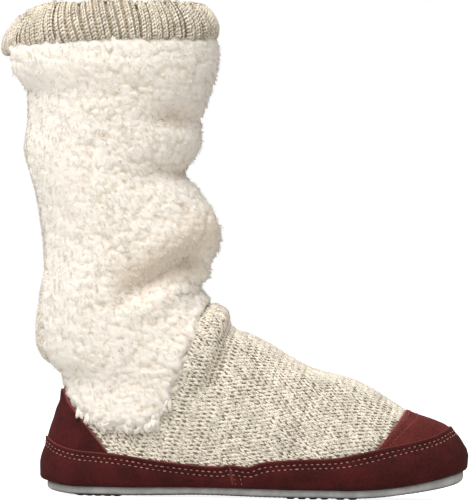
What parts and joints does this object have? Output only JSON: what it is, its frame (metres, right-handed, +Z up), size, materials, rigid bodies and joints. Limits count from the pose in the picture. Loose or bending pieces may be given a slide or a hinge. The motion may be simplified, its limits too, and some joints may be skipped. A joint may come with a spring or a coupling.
{
  "type": "slipper boot",
  "caption": "Slouched mid-calf slipper boot with a knitted foot, a sherpa fleece shaft, a ribbed cuff and a suede band, toe cap and heel counter on a thin rubber sole.",
  "frame": {"origin": "centre of the heel tread, on the floor that the boot stands on", "axes": "+X towards the toe, +Y towards the outer side of the foot, +Z up the shaft"},
  "size_m": [0.2977, 0.113, 0.3115],
  "materials": {
    "rubber": "matt grey rubber with fine flecks",
    "suede": "oxblood suede with a short nap",
    "felt": "soft cream cloth",
    "knit": "oatmeal ragg wool knit",
    "fleece": "cream curly sherpa fleece"
  },
  "bodies": {
    "root": {"outsole": "rubber", "foxing_band": "suede", "footbed": "felt", "upper": "knit", "toe_cap": "suede", "heel_counter": "suede", "fleece_panel": "fleece", "rib_cuff": "knit"}
  },
  "joints": []
}
